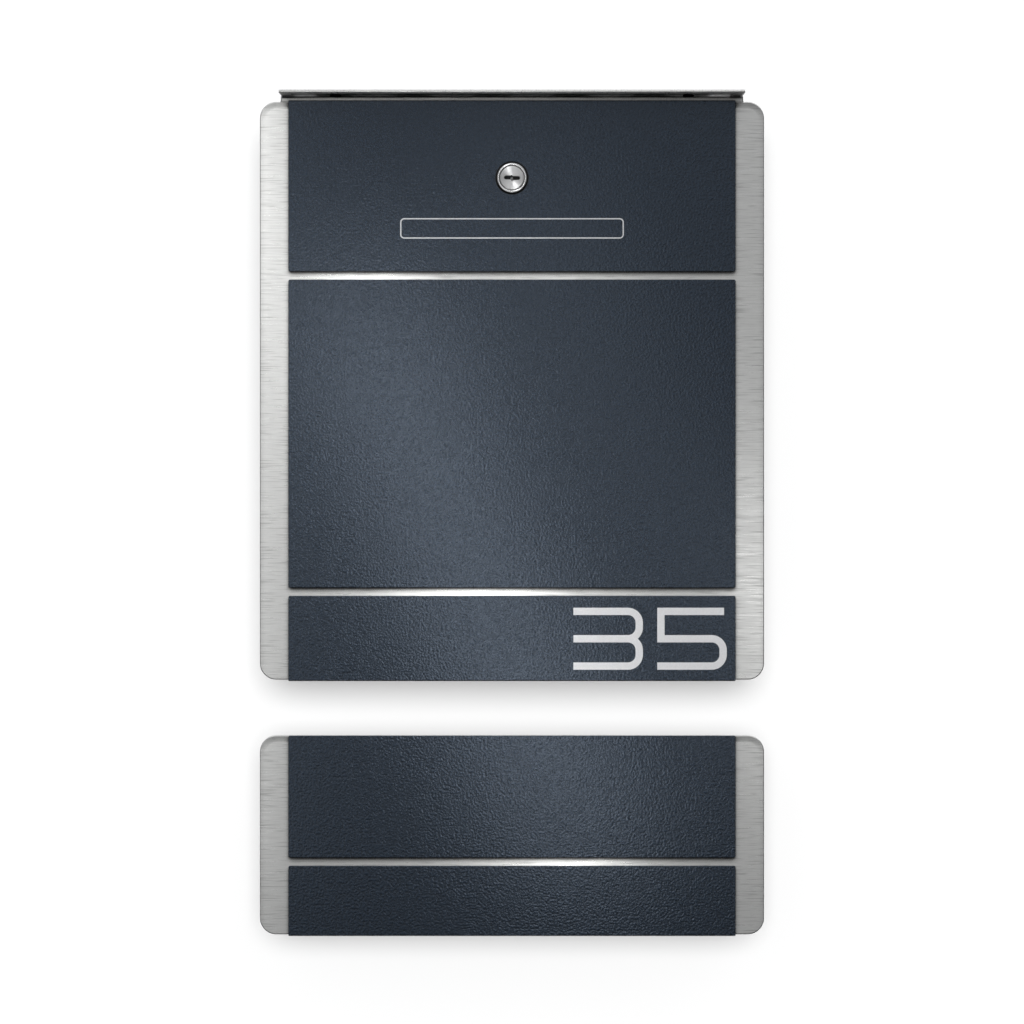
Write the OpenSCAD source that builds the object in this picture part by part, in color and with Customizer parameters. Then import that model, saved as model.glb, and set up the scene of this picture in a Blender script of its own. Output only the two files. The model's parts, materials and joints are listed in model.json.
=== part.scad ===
// Wall mounted mailbox with a matching newspaper compartment below it.
//
// Frame: +Z up, the front looks along -Y, and the wall is the plane y = 0.
// The origin is the centre of the mailbox's four wall screw holes, on the wall plane.
// Brushed steel fronts carry anthracite coated panels. The mailbox has a letter slot
// under a lid that lifts, and a front door that drops forward about its lower edge.

/* [Fronts] */
// Width of both front plates
front_w = 370; // [366:1:390]
// Height of the mailbox's door plate
door_h = 424; // [420:1:430]
// Height of the newspaper compartment's front plate
news_h = 146; // [146:1:160]
// Corner radius of the front plates
corner_r = 12; // [4:1:20]
// Thickness of the front plates
plate_t = 1.5; // [1:0.1:2]
// Free wall between the mailbox's front and the newspaper front
front_gap = 41; // [30:1:60]

/* [Coated panels] */
// Width of the coated panels
panel_w = 328; // [300:1:340]
// Thickness of the coated panel sheet
panel_t = 1; // [0.8:0.1:1.2]
// Thickness of the adhesive tape behind the panels
tape_t = 1; // [0.6:0.1:1.2]
// Bright gap between two panels
panel_gap = 6; // [4:0.5:8]
// Height of the upper door panel
top_panel_h = 125.5; // [120:0.5:130]
// Height of the lower door panel
bottom_panel_h = 62.5; // [60:0.5:70]
// Height of the newspaper front's upper panel
news_upper_h = 89.5; // [80:0.5:95]

/* [Casing] */
// Outer width of both casings and of the lid
casing_w = 340; // [330:1:350]
// Depth of the mailbox casing from the wall
casing_d = 100; // [95:1:110]
// Thickness of the casing sheet
sheet_t = 1; // [0.8:0.1:1.2]
// Fall of the lid towards the front, in degrees
lid_fall = 2; // [1:0.5:3]
// How far the lid stands in front of the casing
lid_overhang = 21; // [12:1:25]
// Spacing of the wall screw holes across
wall_hole_x = 240; // [200:10:280]
// Spacing of the mailbox's wall screw holes up the wall
wall_hole_z = 300; // [200:10:320]
// Spacing of the newspaper casing's wall screw holes up the wall
news_hole_z = 60; // [40:5:80]
// Diameter of the wall screw holes
wall_hole_d = 6.5; // [5:0.5:8]

/* [Lock] */
// Diameter of the lock head
lock_head_d = 22.5; // [20:0.5:23]
// Length of the cam from the lock's axis to its tip
cam_reach = 44; // [42:1:46]
// Height of the lock's axis above the wall holes' centre
lock_z = 156; // [150:1:158]

/* [House number] */
// Width of one digit
digit_w = 51; // [45:1:55]
// Height of the digits
digit_h = 45.5; // [40:0.5:48]
// Width of the digits' stroke
digit_stroke = 5.4; // [4:0.1:7]

/* [Hidden] */

$fn = 48;
eps = 0.01;
// Carries a cutting shape clear of the face that it cuts.
clear = 1;
steel = [0.72, 0.72, 0.71];
anthracite = [0.17, 0.20, 0.24];
zinc = [0.62, 0.63, 0.65];
black = [0.05, 0.05, 0.05];

// Depths, measured from the wall towards the viewer.
half_t = sheet_t / 2;
// From a sheet's outer face to the middle of a second sheet lying inside it.
lap = 1.5 * sheet_t;
seal_t = 1;
plate_back = -(casing_d + seal_t);
plate_front = plate_back - plate_t;
panel_back = plate_front - tape_t;
panel_front = panel_back - panel_t;

// Heights.
door_top = door_h / 2;
door_bottom = -door_h / 2;
casing_bottom = door_bottom + 12;
casing_top = door_top + 4.5;
news_top = door_bottom - front_gap;
news_bottom = news_top - news_h;
wrap = 1;
top_panel_z = door_top + wrap - top_panel_h;
bottom_panel_z = door_bottom - wrap;
middle_panel_z = bottom_panel_z + bottom_panel_h + panel_gap;
middle_panel_h = top_panel_z - panel_gap - middle_panel_z;
news_upper_z = news_top - news_upper_h;
news_lower_z = news_bottom - wrap;
news_lower_h = news_upper_z - panel_gap - news_lower_z;

// Casing flanges.
wall_x = casing_w / 2;
rear_flange = 14;
front_flange = 12;
tray_lip = 22;
rail_h = 27.5;
rail_d = 14;
rail_bottom = casing_top - rail_h;
catch_depth = 7;
catch_h = 11;
slot_front = -(casing_d - rail_d);
slot_back = -50;
deck_z = casing_top - 2.5;
deck_lip_front = 14;
deck_lip_rear = 11;
deck_tab_h = 12.5;
slot_lip = 12.5;
bend_r = 1.5;
weld_overlap = 0.1 * sheet_t;
// Notches that let the rail and the lid's hinge past the side flanges.
notch_x = wall_x - 10;
notch_half = 9;
// Drain holes in the bottom tray.
drain_r = 3;
drain_x = [-110, 0, 110];
tray_corner_gap = 3;
tray_end_gap = 5;
// Letter guide.
guide_side_gap = 10;
guide_top = casing_top - 3;
guide_drop = 72;
guide_reach = 17.5;
guide_hem = 5;
// Rubber strips and pads.
strip_w = 8;
strip_squeeze = 0.1;
side_strip_x = wall_x - 7;
head_strip_inset = 14;
head_strip_top = casing_top - 12;
bumper_r = 4;
bumper_x = 130;
bumper_inset = 7;
bumper_edge = 0.6;
bumper_gap = 0.15;

// Lid, drawn in a frame that is tilted by its fall.
lid_hem = 2.4;
lid_hem_w = 8;
lid_gap = 0.7;
lid_len = 92.5;
lid_base_z = casing_top + lid_gap;

// Hinges: a row of knuckles along X, those with an even number fixed.
hinge_len = 300;
knuckles = 10;
knuckle_gap = 0.4;
pin_clearance = 0.05;
lid_knuckle_r = 2.5;
lid_pin_r = 1.25;
lid_axis = [-(sheet_t + lid_knuckle_r), casing_top + 3.9];
leaf_w = 12;
lid_leaf_gap = 0.7;
lid_leaf_lap = 16;
tongue_inset = knuckle_gap + 0.4;
tongue_gap = 1.6;
door_knuckle_r = 3;
door_pin_r = 1.5;
door_leaf_gap = 0.5;
door_axis = [plate_back + door_knuckle_r, casing_bottom - door_knuckle_r];

// Fasteners.
rivet_r = 1.6;
rivet_head_r = 3.2;
rivet_head_h = 0.9;
rivet_clearance = 0.05;
rivet_hole_r = rivet_r + rivet_clearance;
rivet_cut = 10;
rivet_tail_r = rivet_r + 0.5;
rivet_tail_h = 1;
hinge_tail_r = rivet_r + 0.6;
hinge_tail_h = 0.8;
stud_r = 2;
stud_len = 8;
stud_hole_r = stud_r + 0.2;
nut_flats = 7;
nut_t = 3.2;
washer_t = 0.8;
washer_r = nut_flats / 2 + 1;
door_stud_x = 140;
door_stud_rows = [-155, 5, 170];
news_stud_x = 150;

// Door pan.
pan_w = 308;
pan_bottom = -175;
pan_top = 186.5;
pan_d = 9;
pan_corner_gap = 2;
// Door stops.
stop_w = 14;
stop_x = hinge_len / 2 + 10;
stop_top = door_axis[1] - 0.5;
stop_bottom = door_axis[1] - 5.5;
stop_end = door_axis[0] + 2.4;
stop_bend_r = 0.8;

// Lock.
barrel_r = 9.4;
barrel_hole_r = 9.6;
panel_hole_r = 12;
gasket_t = 0.7;
head_t = 3;
rim_inner_r = 8.85;
rim_depth = 2;
plug_disc_r = 8.8;
plug_r = 6.5;
plug_bore_r = 6.55;
head_front = plate_front - gasket_t - head_t;
barrel_end = -91.3;
cam_t = 2;
cam_front = -91;
cam_square = 7;
key_w = 11.4;
key_h = 2.4;
key_end = -99;
cam_bore_r = 2.05;
cam_bore_front = -97.5;
gasket_r = panel_hole_r - 0.2;
head_edge = 0.5;
lock_nut_flats = 24;
lock_nut_t = 4;
nut_clearance = 0.1;
disc_set_back = 0.2;
disc_clearance = 0.05;
square_clearance = 0.1;
cam_washer_r = 5.5;
cam_screw_r = 4.2;
cam_screw_head_h = 2.4;
cam_screw_len = 8;
cross_w = 4.6;
cross_depth = 1.2;
cross_slot = 1;

// Newspaper casing.
news_d = casing_d + seal_t;
news_case_top = news_top - 8;
news_case_bottom = news_bottom + 8;
news_flange = 13;
news_lip = 11;
news_lip_gap = 4;
news_stud_rows = [news_case_top - 7, news_case_bottom + 7];
news_hole_mid = (news_case_top + news_case_bottom) / 2;

// Tape strips, name field and house number.
tape_w = 20;
tape_x = [-150, -80, 60, 130];
tape_inset = 6;
engrave = 0.25;
inlay_t = 0.3;
name_w = 164;
name_h = 15;
name_z = 119;
name_line = 0.9;
name_corner = 3;
digit_gap = 10.5;
digit_r = 11;
digits_x = 45;
digits_z = -204.7;

// ---- Geometry helpers -------------------------------------------------------------

function unit(v) = v / norm(v);
function left_of(v) = [-v[1], v[0]];
function turned(v, a) = [v[0] * cos(a) - v[1] * sin(a), v[0] * sin(a) + v[1] * cos(a)];
function turn_angle(a, b) = atan2(a[0] * b[1] - a[1] * b[0], a[0] * b[0] + a[1] * b[1]);

// One bend of a folded sheet: [point, normal] pairs round the corner q of the path p-q-s.
function bend(p, q, s, r, steps = 6) =
    let (a = unit(q - p), b = unit(s - q), angle = turn_angle(a, b), side = sign(angle),
         start = q - a * r * tan(abs(angle) / 2), centre = start + left_of(a) * r * side)
    [for (k = [0:steps])
        let (normal = turned(left_of(a), angle * k / steps))
        [centre - normal * r * side, normal]];

function folded_path(points, r) =
    let (last = len(points) - 1)
    concat(
        [[points[0], left_of(unit(points[1] - points[0]))]],
        [for (i = [1:1:last - 1]) each bend(points[i - 1], points[i], points[i + 1], r)],
        [[points[last], left_of(unit(points[last] - points[last - 1]))]]
    );

// Section of a folded sheet whose middle line follows the points.
module folded(points, t = sheet_t, r = bend_r) {
    path = folded_path(points, r);
    ahead = [for (p = path) p[0] + p[1] * t / 2];
    behind = [for (i = [len(path) - 1:-1:0]) path[i][0] - path[i][1] * t / 2];
    polygon(concat(ahead, behind));
}

// A section drawn as (y, z), extruded along X and centred on x.
module along_x(width, x = 0) {
    translate([x - width / 2, 0, 0]) rotate([90, 0, 90]) linear_extrude(width) children();
}

// A section drawn as (x, z), extruded from y0 towards the wall.
module along_y(y0, depth) {
    translate([0, y0 + depth, 0]) rotate([90, 0, 0]) linear_extrude(depth) children();
}

module rounded_rect(w, h, r) {
    square([w - 2 * r, h], center = true);
    square([w, h - 2 * r], center = true);
    for (x = [-1, 1], z = [-1, 1]) translate([x * (w / 2 - r), z * (h / 2 - r)]) circle(r);
}

// Round bar or hole along Y, from y0 towards the wall.
module rod_y(x, z, r, y0, depth) {
    translate([x, y0 + depth, z]) rotate([90, 0, 0]) cylinder(r = r, h = depth);
}

module rod_x(y, z, r, x0, length) {
    translate([x0, y, z]) rotate([0, 90, 0]) cylinder(r = r, h = length);
}

module box_at(low, high) {
    translate(low) cube(high - low);
}

// ---- Hinges -----------------------------------------------------------------------

module knuckle_spans(odd) {
    seg = hinge_len / knuckles;
    for (i = [odd:2:knuckles - 1])
        translate([-hinge_len / 2 + i * seg + knuckle_gap / 2, 0, 0]) children();
}

// Knuckles of one leaf round the axis, with the pin's bore left for the leaf to cut.
module knuckle_row(axis, r, odd) {
    knuckle_spans(odd) rod_x(axis[0], axis[1], r, 0, hinge_len / knuckles - knuckle_gap);
}

module knuckle_bridge(low, high, odd) {
    knuckle_spans(odd) box_at([0, low[0], low[1]], [hinge_len / knuckles - knuckle_gap, high[0], high[1]]);
}

module pin_bore(axis, r) {
    rod_x(axis[0], axis[1], r + pin_clearance, -hinge_len / 2 - clear, hinge_len + 2 * clear);
}

// ---- Fasteners --------------------------------------------------------------------

// Side rivets: [y, z] of each, the same on both sides of the casing.
side_rivets = [
    [-20, casing_bottom + 8], [-50, casing_bottom + 8], [-80, casing_bottom + 8],
    [-93, casing_top - 5], [-93, casing_top - 13],
    [-15, deck_z - 7], [-38, deck_z - 7]
];
hinge_rivets_x = [-120, -60, 0, 60, 120];
hinge_rivet_y = -88;

module side_rivet_holes() {
    for (p = side_rivets, s = [-1, 1])
        rod_x(p[0], p[1], rivet_hole_r, s * wall_x - rivet_cut / 2, rivet_cut);
}

module domed_head(r, h) {
    sphere_r = (r * r + h * h) / (2 * h);
    intersection() {
        translate([0, 0, h - sphere_r]) sphere(sphere_r);
        cylinder(r = r, h = h);
    }
}

module washer_and_nut(x, z, y0) {
    hex_r = nut_flats / 2 / cos(30);
    difference() {
        rod_y(x, z, washer_r, y0, washer_t);
        rod_y(x, z, stud_r + pin_clearance, y0 - clear, washer_t + 2 * clear);
    }
    difference() {
        translate([x, y0 + washer_t + nut_t, z]) rotate([90, 0, 0]) cylinder(r = hex_r, h = nut_t, $fn = 6);
        rod_y(x, z, stud_r + pin_clearance, y0, washer_t + nut_t + clear);
    }
}

// ---- Mailbox casing ---------------------------------------------------------------

module back_panel() {
    color(steel) difference() {
        box_at([-wall_x, -sheet_t, casing_bottom], [wall_x, 0, casing_top]);
        for (x = [-1, 1], z = [-1, 1])
            rod_y(x * wall_hole_x / 2, z * wall_hole_z / 2, wall_hole_d / 2,
                  -sheet_t - clear, sheet_t + 2 * clear);
    }
}

// Side seen from above: rear flange, web, front flange. The top edge falls with the lid.
module side_panel(s) {
    rise = casing_d * tan(lid_fall);
    color(steel) difference() {
        translate([0, 0, casing_bottom]) linear_extrude(casing_top + rise - casing_bottom)
            folded([
                [s * (wall_x - sheet_t - rear_flange), -lap],
                [s * (wall_x - half_t), -lap],
                [s * (wall_x - half_t), -casing_d + half_t],
                [s * (wall_x - sheet_t - front_flange), -casing_d + half_t]
            ]);
        along_x(4 * rear_flange, s * wall_x) polygon([
            [-casing_d - clear, casing_top - clear * tan(lid_fall)],
            [clear, casing_top + rise + clear * tan(lid_fall)],
            [clear, casing_top + 2 * rise], [-casing_d - clear, casing_top + 2 * rise]
        ]);
        box_at([s * notch_x - notch_half, -casing_d - clear, rail_bottom - half_t],
               [s * notch_x + notch_half, -casing_d + bend_r + half_t, casing_top + 2 * rise]);
        box_at([s * notch_x - notch_half, -bend_r - lap, casing_top],
               [s * notch_x + notch_half, -sheet_t + eps, casing_top + 2 * rise]);
        side_rivet_holes();
    }
}

module bottom_tray() {
    base_z = casing_bottom + half_t;
    side_flange = 14;
    color(steel) difference() {
        union() {
            along_x(casing_w - 2 * sheet_t - 2 * tray_corner_gap) folded([
                [-lap - sheet_t, base_z + side_flange], [-lap - sheet_t, base_z],
                [-casing_d + lap, base_z], [-casing_d + lap, casing_bottom + tray_lip]
            ]);
            along_y(-casing_d + tray_end_gap, casing_d - 2 * tray_end_gap) folded([
                [-wall_x + lap, base_z + side_flange], [-wall_x + lap, base_z],
                [wall_x - lap, base_z], [wall_x - lap, base_z + side_flange]
            ]);
        }
        side_rivet_holes();
        for (x = drain_x)
            translate([x, -casing_d / 2, casing_bottom - clear])
                cylinder(r = drain_r, h = sheet_t + 2 * clear);
        for (x = hinge_rivets_x)
            translate([x, hinge_rivet_y, casing_bottom - clear])
                cylinder(r = rivet_hole_r, h = sheet_t + 2 * clear);
    }
}

// Head rail: slot edge, top, visible face, and the catch that the cam turns behind.
module front_rail() {
    side_tab_x = wall_x - lap;
    color(steel) difference() {
        union() {
            along_x(casing_w - 2 * sheet_t) folded([
                [slot_front + half_t, casing_top - slot_lip], [slot_front + half_t, casing_top - half_t],
                [-casing_d + half_t, casing_top - half_t], [-casing_d + half_t, rail_bottom + half_t],
                [-casing_d + catch_depth + half_t, rail_bottom + half_t],
                [-casing_d + catch_depth + half_t, rail_bottom + catch_h]
            ]);
            for (s = [-1, 1])
                box_at([s * side_tab_x - half_t, -casing_d + half_t, casing_top - tray_lip],
                       [s * side_tab_x + half_t, slot_front - 2 * sheet_t, casing_top - 2 * sheet_t]);
        }
        side_rivet_holes();
    }
}

module top_deck() {
    side_tab_x = wall_x - lap;
    color(steel) difference() {
        union() {
            along_x(2 * (side_tab_x - half_t + weld_overlap)) folded([
                [slot_back - half_t, deck_z - deck_lip_front], [slot_back - half_t, deck_z - half_t],
                [-lap - sheet_t, deck_z - half_t], [-lap - sheet_t, deck_z - deck_lip_rear]
            ]);
            for (s = [-1, 1])
                box_at([s * side_tab_x - half_t, slot_back + tray_end_gap, deck_z - half_t - deck_tab_h],
                       [s * side_tab_x + half_t, -tray_end_gap, deck_z - half_t]);
        }
        side_rivet_holes();
    }
}

// Guides letters behind the lock and keeps hands out.
module letter_guide() {
    top_y = slot_front + lap;
    color(steel) along_x(casing_w - 2 * guide_side_gap) folded([
        [top_y, guide_top], [top_y, casing_top - slot_lip],
        [top_y + guide_reach, casing_top - guide_drop],
        [top_y + guide_reach - guide_hem, casing_top - guide_drop - guide_hem]
    ]);
}

module casing_rivets() {
    color(zinc) for (p = side_rivets, s = [-1, 1])
        translate([s * wall_x, p[0], p[1]]) rotate([0, s * 90, 0]) {
            domed_head(rivet_head_r, rivet_head_h);
            translate([0, 0, -2 * sheet_t]) cylinder(r = rivet_r, h = 2 * sheet_t + eps);
            translate([0, 0, -2 * sheet_t - rivet_tail_h]) cylinder(r = rivet_tail_r, h = rivet_tail_h);
        }
}

module door_seal() {
    strip_front = -casing_d - seal_t + strip_squeeze;
    color(black) {
        for (s = [-1, 1])
            box_at([s * side_strip_x - strip_w / 2, strip_front, pan_bottom + tray_end_gap],
                   [s * side_strip_x + strip_w / 2, -casing_d, pan_top]);
        box_at([-wall_x + head_strip_inset, strip_front, head_strip_top - strip_w],
               [wall_x - head_strip_inset, -casing_d, head_strip_top]);
    }
}

// Rubber pads on the head rail that the lid closes on.
module lid_bumpers() {
    pad_h = lid_gap + lid_hem - sheet_t + bumper_inset * tan(lid_fall) - bumper_gap;
    color(black) for (s = [-1, 1])
        translate([s * bumper_x, bumper_inset - casing_d, casing_top]) {
            cylinder(r = bumper_r, h = pad_h - bumper_edge);
            translate([0, 0, pad_h - bumper_edge])
                cylinder(r1 = bumper_r, r2 = bumper_r - bumper_edge, h = bumper_edge);
        }
}

// ---- Lid --------------------------------------------------------------------------

// Frame of the lid: y along its underside from the casing's front, z out of it.
module lid_frame() {
    translate([0, -casing_d, lid_base_z]) rotate([lid_fall, 0, 0]) children();
}

module lid() {
    nose = lid_hem / 2;
    skin = lid_hem - sheet_t;
    color(steel) lid_frame() difference() {
        along_x(casing_w) {
            translate([-lid_overhang + nose, nose]) circle(nose);
            translate([-lid_overhang + nose, 0]) square([lid_overhang + lid_len - nose, lid_hem]);
        }
        box_at([-wall_x + lid_hem_w, -lid_overhang + nose + lid_hem_w, -clear],
               [wall_x - lid_hem_w, lid_len + clear, skin]);
    }
}

module lid_hinge_leaf_fixed() {
    leaf_top = lid_axis[1] - lid_knuckle_r - lid_leaf_gap;
    color(zinc) difference() {
        union() {
            box_at([-hinge_len / 2, -2 * sheet_t, leaf_top - leaf_w], [hinge_len / 2, -sheet_t, leaf_top]);
            knuckle_bridge([-2 * sheet_t, leaf_top - eps], [-sheet_t, lid_axis[1]], 0);
            knuckle_row(lid_axis, lid_knuckle_r, 0);
        }
        pin_bore(lid_axis, lid_pin_r);
    }
}

module lid_hinge_leaf_moving() {
    skin = lid_hem - sheet_t;
    tongue_end = lid_axis[0] + casing_d - tongue_gap;
    seg = hinge_len / knuckles;
    color(zinc) difference() {
        union() {
            lid_frame() difference() {
                box_at([-hinge_len / 2, lid_len - lid_leaf_lap, skin - sheet_t],
                       [hinge_len / 2 - tongue_inset, tongue_end, skin]);
                for (i = [0:2:knuckles - 1])
                    translate([-hinge_len / 2 + i * seg - tongue_inset, lid_len, -clear])
                        cube([seg + 2 * tongue_inset, casing_d - lid_len, skin + 2 * clear]);
            }
            knuckle_row(lid_axis, lid_knuckle_r, 1);
        }
        pin_bore(lid_axis, lid_pin_r);
    }
}

module lid_hinge_pin() {
    color(zinc) rod_x(lid_axis[0], lid_axis[1], lid_pin_r, -hinge_len / 2, hinge_len);
}

// ---- Door hinge -------------------------------------------------------------------

module door_hinge_leaf_fixed() {
    leaf_y = door_axis[0] + door_knuckle_r + door_leaf_gap;
    color(zinc) difference() {
        union() {
            box_at([-hinge_len / 2, leaf_y, casing_bottom - sheet_t],
                   [hinge_len / 2, leaf_y + leaf_w, casing_bottom]);
            knuckle_bridge([door_axis[0], casing_bottom - sheet_t], [leaf_y + eps, casing_bottom], 0);
            knuckle_row(door_axis, door_knuckle_r, 0);
        }
        pin_bore(door_axis, door_pin_r);
        for (x = hinge_rivets_x)
            translate([x, hinge_rivet_y, casing_bottom - sheet_t - clear])
                cylinder(r = rivet_hole_r, h = sheet_t + 2 * clear);
    }
}

module door_hinge_rivets() {
    color(zinc) for (x = hinge_rivets_x)
        translate([x, hinge_rivet_y, casing_bottom]) {
            translate([0, 0, sheet_t]) domed_head(rivet_head_r, rivet_head_h);
            translate([0, 0, -sheet_t]) cylinder(r = rivet_r, h = 2 * sheet_t + eps);
            translate([0, 0, -sheet_t - hinge_tail_h]) cylinder(r = hinge_tail_r, h = hinge_tail_h);
        }
}

module door_hinge_leaf_moving() {
    leaf_top = door_axis[1] - door_knuckle_r - door_leaf_gap;
    color(zinc) difference() {
        union() {
            box_at([-hinge_len / 2, plate_back, door_bottom + wrap],
                   [hinge_len / 2, plate_back + sheet_t, leaf_top]);
            knuckle_bridge([plate_back, leaf_top - eps], [plate_back + sheet_t, door_axis[1]], 1);
            knuckle_row(door_axis, door_knuckle_r, 1);
        }
        pin_bore(door_axis, door_pin_r);
    }
}

module door_hinge_pin() {
    color(zinc) rod_x(door_axis[0], door_axis[1], door_pin_r, -hinge_len / 2, hinge_len);
}

// ---- Door -------------------------------------------------------------------------

module front_plate(z0, h) {
    color(steel) along_y(plate_front, plate_t)
        translate([0, z0 + h / 2]) rounded_rect(front_w, h, corner_r);
}

module door_plate() {
    difference() {
        front_plate(door_bottom, door_h);
        color(steel) rod_y(0, lock_z, barrel_hole_r, plate_front - clear, plate_t + 2 * clear);
    }
}

// Stiffening pan welded behind the door plate, its rims turned into the casing.
module door_pan() {
    base_y = plate_back + half_t;
    rim_y = plate_back + pan_d;
    color(steel) difference() {
        union() {
            along_x(pan_w - 2 * pan_corner_gap) folded([
                [rim_y, pan_bottom + half_t], [base_y, pan_bottom + half_t],
                [base_y, pan_top - half_t], [rim_y, pan_top - half_t]
            ]);
            translate([0, 0, pan_bottom + pan_corner_gap])
                linear_extrude(pan_top - pan_bottom - 2 * pan_corner_gap) folded([
                    [-pan_w / 2 + half_t, rim_y], [-pan_w / 2 + half_t, base_y],
                    [pan_w / 2 - half_t, base_y], [pan_w / 2 - half_t, rim_y]
                ]);
        }
        rod_y(0, lock_z, barrel_hole_r, plate_back - clear, sheet_t + 2 * clear);
        for (x = [-1, 1], z = door_stud_rows)
            rod_y(x * door_stud_x, z, stud_hole_r, plate_back - clear, sheet_t + 2 * clear);
    }
}

module door_studs() {
    color(zinc) for (x = [-1, 1], z = door_stud_rows)
        rod_y(x * door_stud_x, z, stud_r, plate_back, stud_len);
}

module door_nuts() {
    color(zinc) for (x = [-1, 1], z = door_stud_rows)
        washer_and_nut(x * door_stud_x, z, plate_back + sheet_t);
}

// Tabs that meet the casing's underside when the door lies open.
module door_stops() {
    color(zinc) for (s = [-1, 1])
        along_x(stop_w, s * stop_x) folded([
            [plate_back + half_t, stop_top], [plate_back + half_t, stop_bottom], [stop_end, stop_bottom]
        ], sheet_t, stop_bend_r);
}

// A coated panel, [bottom, height], whose chosen edges fold over the plate's edge.
module coated_panel(z0, h, over_top = false, over_bottom = false) {
    along_x(panel_w) {
        translate([panel_front, z0]) square([panel_t, h]);
        if (over_top) translate([panel_front, z0 + h - wrap]) square([plate_back - panel_front, wrap]);
        if (over_bottom) translate([panel_front, z0]) square([plate_back - panel_front, wrap]);
    }
}

module name_outline() {
    translate([0, name_z]) difference() {
        rounded_rect(name_w, name_h, name_corner);
        rounded_rect(name_w - 2 * name_line, name_h - 2 * name_line, name_corner - name_line);
    }
}

module rounded_right(w, h, r) {
    square([w - r, h]);
    translate([0, r]) square([w, h - 2 * r]);
    translate([w - r, r]) circle(r);
    translate([w - r, h - r]) circle(r);
}

// A stroke that runs right, round two corners and back, open on the left.
module bowl(w, h) {
    difference() {
        rounded_right(w, h, digit_r);
        translate([-1, digit_stroke])
            rounded_right(w - digit_stroke + 1, h - 2 * digit_stroke, digit_r - digit_stroke);
    }
}

module digit_three() {
    bowl_h = (digit_h + digit_stroke) / 2;
    bowl(digit_w, bowl_h);
    translate([0, digit_h - bowl_h]) bowl(digit_w, bowl_h);
}

module digit_five() {
    bowl_h = (digit_h + digit_stroke) / 2;
    bowl(digit_w, bowl_h);
    translate([0, bowl_h - digit_stroke]) square([digit_stroke, digit_h - bowl_h + digit_stroke]);
    translate([0, digit_h - digit_stroke]) square([digit_w - 2, digit_stroke]);
}

module digits() {
    translate([digits_x, digits_z]) {
        digit_three();
        translate([digit_w + digit_gap, 0]) digit_five();
    }
}

module top_panel() {
    color(anthracite) difference() {
        coated_panel(top_panel_z, top_panel_h, over_top = true);
        rod_y(0, lock_z, panel_hole_r, panel_front - clear, panel_t + 2 * clear);
        along_y(panel_front - 1, 1 + engrave) name_outline();
    }
}

module middle_panel() {
    color(anthracite) coated_panel(middle_panel_z, middle_panel_h);
}

module bottom_panel() {
    color(anthracite) difference() {
        coated_panel(bottom_panel_z, bottom_panel_h, over_bottom = true);
        along_y(panel_front - 1, 1 + engrave) digits();
    }
}

module name_frame() {
    color(steel) along_y(panel_front + engrave - inlay_t, inlay_t) name_outline();
}

module house_number() {
    color(steel) along_y(panel_front + engrave - inlay_t, inlay_t) digits();
}

module tape_strips(z0, h) {
    for (x = tape_x)
        box_at([x, panel_back, z0 + tape_inset], [x + tape_w, plate_front, z0 + h - tape_inset]);
}

module door_tapes() {
    color(black) {
        tape_strips(top_panel_z, top_panel_h);
        tape_strips(middle_panel_z, middle_panel_h);
        tape_strips(bottom_panel_z, bottom_panel_h);
    }
}

// ---- Lock -------------------------------------------------------------------------

module lock_at(y) {
    translate([0, y, lock_z]) rotate([-90, 0, 0]) children();
}

module lock_gasket() {
    color(black) lock_at(plate_front - gasket_t) difference() {
        cylinder(r = gasket_r, h = gasket_t);
        translate([0, 0, -clear]) cylinder(r = barrel_hole_r, h = gasket_t + 2 * clear);
    }
}

module lock_housing() {
    head_r = lock_head_d / 2;
    full_len = barrel_end - head_front;
    color(zinc) lock_at(head_front) difference() {
        union() {
            cylinder(r1 = head_r - head_edge, r2 = head_r, h = head_edge);
            translate([0, 0, head_edge]) cylinder(r = head_r, h = head_t - head_edge);
            translate([0, 0, head_t - eps]) cylinder(r = barrel_r, h = full_len - head_t + eps);
        }
        translate([0, 0, -clear]) cylinder(r = rim_inner_r, h = rim_depth + clear);
        translate([0, 0, -clear]) cylinder(r = plug_bore_r, h = full_len + 2 * clear);
    }
}

module lock_nut() {
    color(zinc) lock_at(plate_back + sheet_t) difference() {
        cylinder(r = lock_nut_flats / 2 / cos(30), h = lock_nut_t, $fn = 6);
        translate([0, 0, -clear]) cylinder(r = barrel_r + nut_clearance, h = lock_nut_t + 2 * clear);
    }
}

module lock_plug() {
    disc_front = head_front + disc_set_back;
    disc_back = head_front + rim_depth - disc_clearance;
    cam_back = cam_front + cam_t;
    color(zinc) difference() {
        union() {
            rod_y(0, lock_z, plug_disc_r, disc_front, disc_back - disc_front);
            rod_y(0, lock_z, plug_r, disc_back - eps, cam_front - disc_back);
            box_at([-cam_square / 2, cam_front - eps, lock_z - cam_square / 2],
                   [cam_square / 2, cam_back - square_clearance, lock_z + cam_square / 2]);
        }
        box_at([-key_w / 2, disc_front - clear, lock_z - key_h / 2],
               [key_w / 2, key_end, lock_z + key_h / 2]);
        rod_y(0, lock_z, cam_bore_r, cam_bore_front, cam_back - cam_bore_front + clear);
    }
}

// Locking arm. It points left while the door can open and turns up to lock it.
module lock_cam() {
    arm_w = 14;
    hub_r = 9;
    tip_r = 3;
    color(zinc) along_y(cam_front, cam_t) translate([0, lock_z]) difference() {
        union() {
            circle(hub_r);
            translate([-cam_reach + tip_r, -arm_w / 2]) square([cam_reach - tip_r, arm_w]);
            translate([-cam_reach, -arm_w / 2 + tip_r]) square([tip_r + clear, arm_w - 2 * tip_r]);
            for (s = [-1, 1]) translate([-cam_reach + tip_r, s * (arm_w / 2 - tip_r)]) circle(tip_r);
        }
        square(cam_square + square_clearance, center = true);
    }
}

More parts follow.
